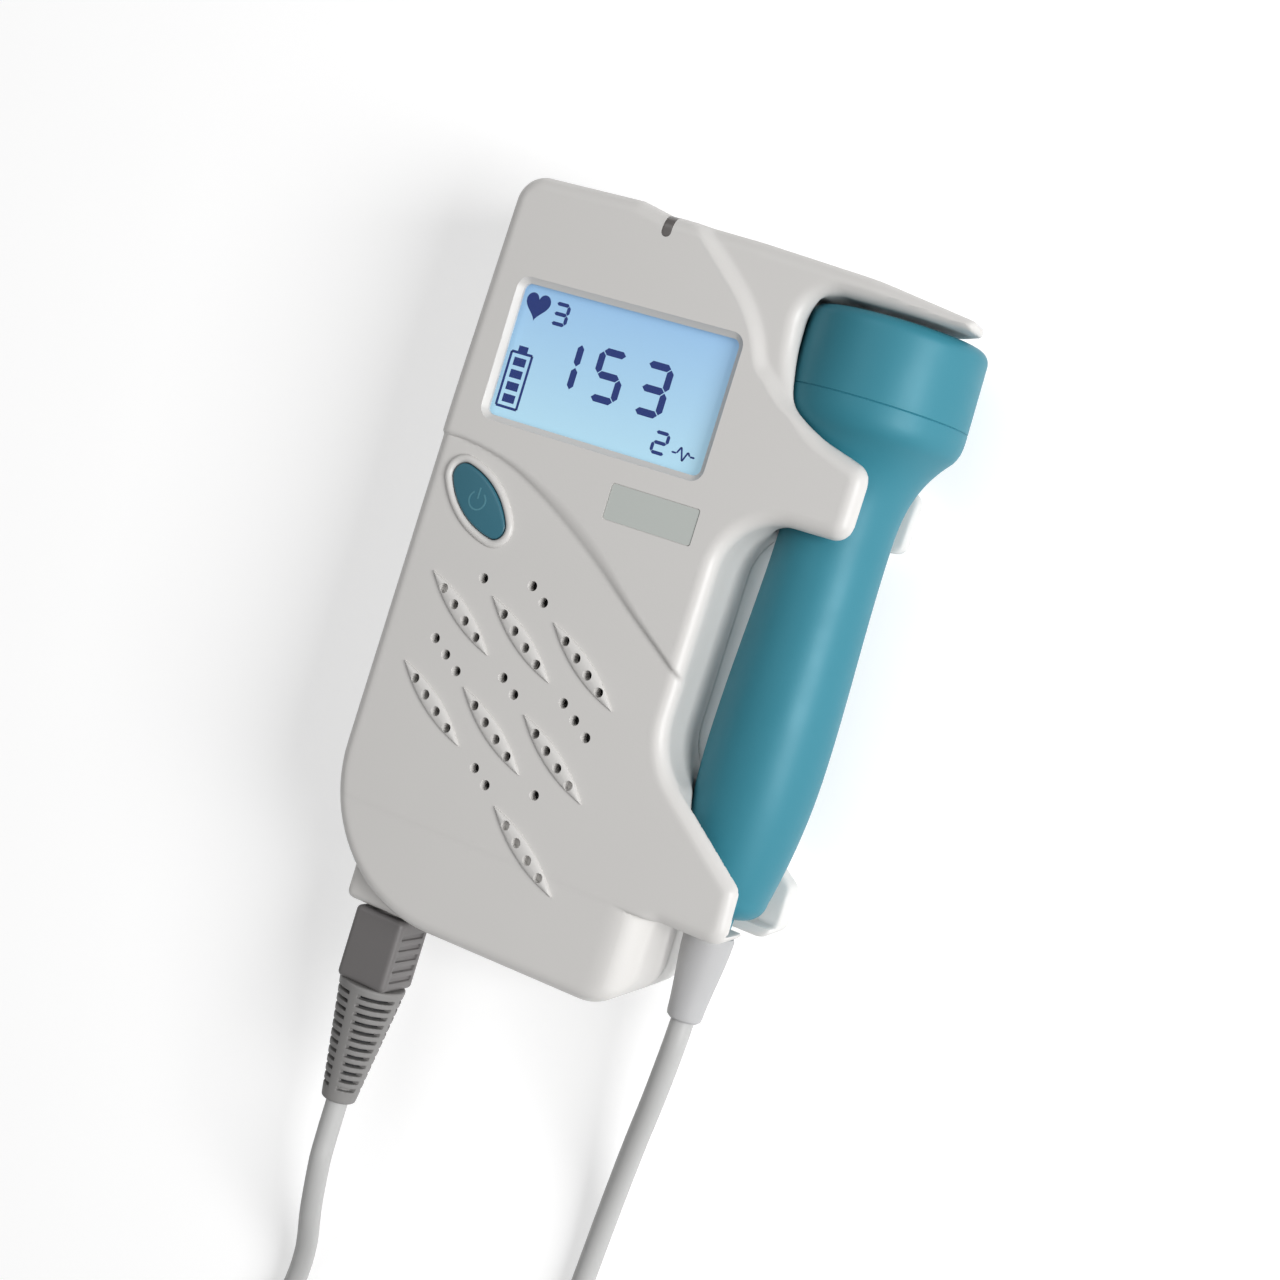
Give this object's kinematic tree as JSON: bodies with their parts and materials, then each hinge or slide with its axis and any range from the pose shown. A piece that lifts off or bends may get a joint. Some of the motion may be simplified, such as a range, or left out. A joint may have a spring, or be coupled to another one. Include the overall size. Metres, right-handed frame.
{
  "type": "fetal doppler monitor",
  "caption": "Hand-held fetal doppler monitor with display, power button, speaker grille and a plugged-in ultrasound probe that rests in a side cradle.",
  "frame": {"origin": "middle of the footprint of the monitor and its cradled probe, on the back plane it lies on; the cable and its plug are left out", "axes": "+X towards the probe cradle, +Y towards the top edge above the display, +Z out of the display face"},
  "size_m": [0.0944, 0.2881, 0.0341],
  "materials": {
    "case_plastic": "satin moulded",
    "screw_steel": "plated",
    "window_clear": "polished",
    "lcd_glass": "smooth, lit from behind",
    "light_guide": "smooth",
    "board_green": "solder mask",
    "chip_black": "moulded",
    "led_clear": "clear moulded",
    "smoke_plastic": "translucent, polished",
    "teal_button": "satin",
    "black_cloth": "woven",
    "speaker_cone": "pressed paper and plastic",
    "cell_wrap": "shrink wrap",
    "contact_metal": "plated",
    "teal_plastic": "satin",
    "crystal": "ceramic",
    "backing_rubber": "cast",
    "boot_rubber": "moulded",
    "plug_plastic": "moulded",
    "relief_rubber": "moulded",
    "cable_sheath": "smooth"
  },
  "bodies": {
    "housing": {"front_shell": "case_plastic", "rear_shell": "case_plastic", "case_screws": "screw_steel", "display_window": "window_clear", "lcd_module": "lcd_glass", "lcd_backlight": "light_guide", "circuit_board": "board_green", "board_chips": "chip_black", "status_led": "led_clear", "indicator_lens": "smoke_plastic", "label_plate": "case_plastic", "button_switch": "chip_black", "speaker_cloth": "black_cloth", "speaker": "speaker_cone", "volume_pot": "chip_black", "earphone_jack": "chip_black", "probe_socket": "chip_black", "battery_cells": "cell_wrap", "battery_contacts": "contact_metal", "cable_probe_side": "cable_sheath", "cable_coil": "cable_sheath", "cable_plug_side": "cable_sheath"},
    "power_button": {"power_button": "teal_button"},
    "probe": {"probe_head": "teal_plastic", "probe_handle": "teal_plastic", "probe_boot": "boot_rubber", "transducer_disc": "crystal", "transducer_backing": "backing_rubber", "probe_board": "board_green"},
    "plug": {"plug_body": "plug_plastic", "plug_contacts": "contact_metal", "plug_relief": "relief_rubber"},
    "volume_wheel": {"volume_wheel": "case_plastic"},
    "battery_door": {"battery_door": "case_plastic"}
  },
  "joints": [
    {"name": "power_press", "type": "slide", "parent": "housing", "child": "power_button", "axis": [0, 0, -1], "range_m": [0, 0.0006], "stiffness_N_per_m": 1500},
    {"name": "probe_lift", "type": "slide", "parent": "housing", "child": "probe", "axis": [1, 0, 0], "range_m": [0, 0.036]},
    {"name": "plug_pull", "type": "slide", "parent": "housing", "child": "plug", "axis": [0, -1, 0], "range_m": [0, 0.009]},
    {"name": "volume_turn", "type": "hinge", "parent": "housing", "child": "volume_wheel", "pos_m": [-0.0378, 0.0309, 0.0167], "axis": [0, 0, 1], "range_deg": [-135, 135]},
    {"name": "door_slide", "type": "slide", "parent": "housing", "child": "battery_door", "axis": [0, -1, 0], "range_m": [0, 0.014]}
  ]
}
